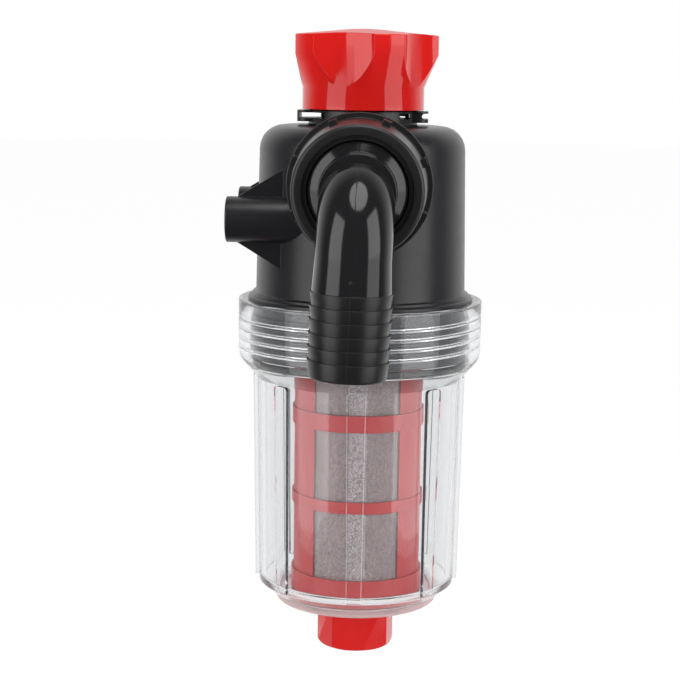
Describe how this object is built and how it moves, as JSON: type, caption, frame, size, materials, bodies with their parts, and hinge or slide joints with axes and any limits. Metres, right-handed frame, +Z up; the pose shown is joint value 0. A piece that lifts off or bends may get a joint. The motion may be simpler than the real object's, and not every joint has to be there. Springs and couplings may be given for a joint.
{
  "type": "inline strainer",
  "caption": "Inline liquid strainer: black moulded head with barbed swivel elbows, quarter-turn drum valve, clear screw-on bowl and a mesh cartridge.",
  "frame": {"origin": "middle of the drain plug's bottom face, on the axis of the bowl", "axes": "+Z up along the axis of the bowl, cartridge, valve and knob; -Y out of the inlet; +Y out of the outlet; -X out of the bracket bosses"},
  "size_m": [0.1322, 0.2786, 0.33],
  "materials": {
    "head_black": "moulded glass-filled plastic with a fine grain",
    "elbow_black": "smooth glossy moulding",
    "knob_red": "glossy moulding",
    "cartridge_red": "satin moulding",
    "plug_red": "semi-gloss moulding",
    "bowl_clear": "clear polished moulding",
    "mesh_steel": "woven stainless wire",
    "steel": "plain",
    "brass": "turned",
    "rubber": "matt"
  },
  "bodies": {
    "head": {"head_housing": "head_black", "boss_insert_front": "brass", "boss_insert_rear": "brass", "valve_bonnet": "head_black", "bonnet_oring": "rubber", "spindle_oring": "rubber"},
    "fork": {"retaining_fork": "head_black"},
    "knob": {"shutoff_knob": "knob_red", "knob_cap": "knob_red", "knob_screw": "steel", "valve_spindle": "brass", "valve_gate": "head_black"},
    "front_seal": {"front_nose_oring": "rubber"},
    "front_nut": {"front_ring_nut": "head_black"},
    "front_tail": {"front_elbow": "elbow_black"},
    "rear_seal": {"rear_nose_oring": "rubber"},
    "rear_nut": {"rear_ring_nut": "head_black"},
    "rear_tail": {"rear_elbow": "elbow_black"},
    "bowl_seal": {"bowl_oring": "rubber"},
    "bowl": {"bowl": "bowl_clear", "cartridge_frame": "cartridge_red", "cartridge_mesh": "mesh_steel", "cartridge_gasket_low": "rubber", "cartridge_gasket_high": "rubber"},
    "drain_seal": {"drain_oring": "rubber"},
    "drain": {"drain_plug": "plug_red"}
  },
  "joints": [
    {"name": "knob_turn", "type": "hinge", "parent": "head", "child": "knob", "pos_m": [0, 0, 0.2888], "axis": [0, 0, 1], "range_deg": [0, 90]},
    {"name": "fork_pull", "type": "slide", "parent": "head", "child": "fork", "axis": [0, 1, 0], "range_m": [0, 0.0244]},
    {"name": "front_nut_travel", "type": "slide", "parent": "head", "child": "front_seal", "axis": [0, -1, 0], "range_m": [0, 0.0181]},
    {"name": "front_nut_turn", "type": "hinge", "parent": "front_seal", "child": "front_nut", "pos_m": [0, -0.0573, 0.2527], "axis": [0, -1, 0], "range_deg": [0, 2160]},
    {"name": "front_tail_swivel", "type": "hinge", "parent": "front_seal", "child": "front_tail", "pos_m": [0, -0.0843, 0.2527], "axis": [0, -1, 0], "continuous": true},
    {"name": "rear_nut_travel", "type": "slide", "parent": "head", "child": "rear_seal", "axis": [0, 1, 0], "range_m": [0, 0.0181]},
    {"name": "rear_nut_turn", "type": "hinge", "parent": "rear_seal", "child": "rear_nut", "pos_m": [0, 0.0573, 0.2527], "axis": [0, 1, 0], "range_deg": [0, 2160]},
    {"name": "rear_tail_swivel", "type": "hinge", "parent": "rear_seal", "child": "rear_tail", "pos_m": [0, 0.0843, 0.2527], "axis": [0, 1, 0], "continuous": true},
    {"name": "bowl_travel", "type": "slide", "parent": "head", "child": "bowl_seal", "axis": [0, 0, -1], "range_m": [0, 0.0201]},
    {"name": "bowl_turn", "type": "hinge", "parent": "bowl_seal", "child": "bowl", "pos_m": [0, 0, 0.1639], "axis": [0, 0, -1], "range_deg": [0, 1440]},
    {"name": "drain_travel", "type": "slide", "parent": "bowl", "child": "drain_seal", "axis": [0, 0, -1], "range_m": [0, 0.0076]},
    {"name": "drain_turn", "type": "hinge", "parent": "drain_seal", "child": "drain", "pos_m": [0, 0, 0.0265], "axis": [0, 0, -1], "range_deg": [0, 1080]}
  ],
  "couplings": [
    {"joint": "front_nut_travel", "follows": "front_nut_turn", "m_per_rad": 0.00047746},
    {"joint": "rear_nut_travel", "follows": "rear_nut_turn", "m_per_rad": 0.00047746},
    {"joint": "bowl_travel", "follows": "bowl_turn", "m_per_rad": 0.00079577},
    {"joint": "drain_travel", "follows": "drain_turn", "m_per_rad": 0.00039789}
  ]
}
